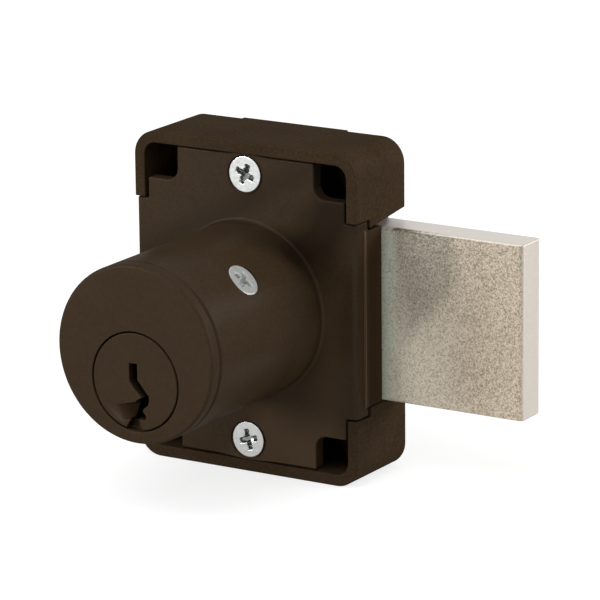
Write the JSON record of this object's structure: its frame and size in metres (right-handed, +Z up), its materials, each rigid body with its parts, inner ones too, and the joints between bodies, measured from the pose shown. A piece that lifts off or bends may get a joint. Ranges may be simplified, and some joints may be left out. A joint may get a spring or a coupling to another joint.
{
  "type": "cabinet deadbolt lock",
  "caption": "Surface-mounted cabinet deadbolt: pin-tumbler cylinder in a round barrel on a rectangular case; a quarter turn of the plug draws the flat bolt in.",
  "frame": {"origin": "centre of the four mounting holes, on the back face of the case (beside the raised pad)", "axes": "+X the way the bolt moves out, +Y from the key side to the back of the case, +Z up, with the plug below the middle of the barrel"},
  "size_m": [0.0665, 0.0476, 0.054],
  "materials": {
    "bronze_paint": "dark bronze paint with a fine texture, low sheen, over die-cast metal (over brass on cylinder and plug)",
    "bare_bolt": "bare cast bar, dull warm grey, mottled and grainy; zinc-like die casting rather than iron",
    "bright_zinc": "bright zinc plating, satin",
    "pin_brass": "plain turned brass",
    "plain_steel": "plain steel, dull"
  },
  "bodies": {
    "lock_case": {"case": "bronze_paint", "cover_and_barrel": "bronze_paint", "cover_screws": "bright_zinc", "cylinder_body": "bronze_paint", "chamber_cap": "pin_brass", "cylinder_set_screw": "bright_zinc", "pin_spring_1": "plain_steel", "pin_spring_2": "plain_steel", "pin_spring_3": "plain_steel", "pin_spring_4": "plain_steel", "pin_spring_5": "plain_steel"},
    "bolt": {"bolt": "bare_bolt"},
    "plug": {"plug": "bronze_paint", "cam_washer": "plain_steel", "cam": "plain_steel", "cam_pin": "plain_steel", "cam_screw": "bright_zinc"},
    "bottom_pin_1": {"bottom_pin_1": "pin_brass"},
    "bottom_pin_2": {"bottom_pin_2": "pin_brass"},
    "bottom_pin_3": {"bottom_pin_3": "pin_brass"},
    "bottom_pin_4": {"bottom_pin_4": "pin_brass"},
    "bottom_pin_5": {"bottom_pin_5": "pin_brass"},
    "driver_pin_1": {"driver_pin_1": "pin_brass"},
    "driver_pin_2": {"driver_pin_2": "pin_brass"},
    "driver_pin_3": {"driver_pin_3": "pin_brass"},
    "driver_pin_4": {"driver_pin_4": "pin_brass"},
    "driver_pin_5": {"driver_pin_5": "pin_brass"}
  },
  "joints": [
    {"name": "plug_turn", "type": "hinge", "parent": "lock_case", "child": "plug", "pos_m": [0, -0.0288, -0.0043], "axis": [0, -1, 0], "range_deg": [0, 90]},
    {"name": "bolt_slide", "type": "slide", "parent": "lock_case", "child": "bolt", "axis": [1, 0, 0], "range_m": [-0.025, 0]},
    {"name": "bottom_pin_1_slide", "type": "slide", "parent": "plug", "child": "bottom_pin_1", "axis": [0, 0, 1], "range_m": [-0.00305, 0]},
    {"name": "bottom_pin_2_slide", "type": "slide", "parent": "plug", "child": "bottom_pin_2", "axis": [0, 0, 1], "range_m": [-0.00185, 0]},
    {"name": "bottom_pin_3_slide", "type": "slide", "parent": "plug", "child": "bottom_pin_3", "axis": [0, 0, 1], "range_m": [-0.00245, 0]},
    {"name": "bottom_pin_4_slide", "type": "slide", "parent": "plug", "child": "bottom_pin_4", "axis": [0, 0, 1], "range_m": [-0.00125, 0]},
    {"name": "bottom_pin_5_slide", "type": "slide", "parent": "plug", "child": "bottom_pin_5", "axis": [0, 0, 1], "range_m": [-0.00215, 0]},
    {"name": "driver_pin_1_slide", "type": "slide", "parent": "lock_case", "child": "driver_pin_1", "axis": [0, 0, 1], "range_m": [0, 0.0025], "stiffness_N_per_m": 40, "springref_m": -0.004, "deforming": ["pin_spring_1"]},
    {"name": "driver_pin_2_slide", "type": "slide", "parent": "lock_case", "child": "driver_pin_2", "axis": [0, 0, 1], "range_m": [0, 0.0025], "stiffness_N_per_m": 40, "springref_m": -0.004, "deforming": ["pin_spring_2"]},
    {"name": "driver_pin_3_slide", "type": "slide", "parent": "lock_case", "child": "driver_pin_3", "axis": [0, 0, 1], "range_m": [0, 0.0025], "stiffness_N_per_m": 40, "springref_m": -0.004, "deforming": ["pin_spring_3"]},
    {"name": "driver_pin_4_slide", "type": "slide", "parent": "lock_case", "child": "driver_pin_4", "axis": [0, 0, 1], "range_m": [0, 0.0025], "stiffness_N_per_m": 40, "springref_m": -0.004, "deforming": ["pin_spring_4"]},
    {"name": "driver_pin_5_slide", "type": "slide", "parent": "lock_case", "child": "driver_pin_5", "axis": [0, 0, 1], "range_m": [0, 0.0025], "stiffness_N_per_m": 40, "springref_m": -0.004, "deforming": ["pin_spring_5"]}
  ],
  "couplings": [
    {"joint": "plug_turn", "follows": "bolt_slide", "rad_per_m": -62.83}
  ]
}
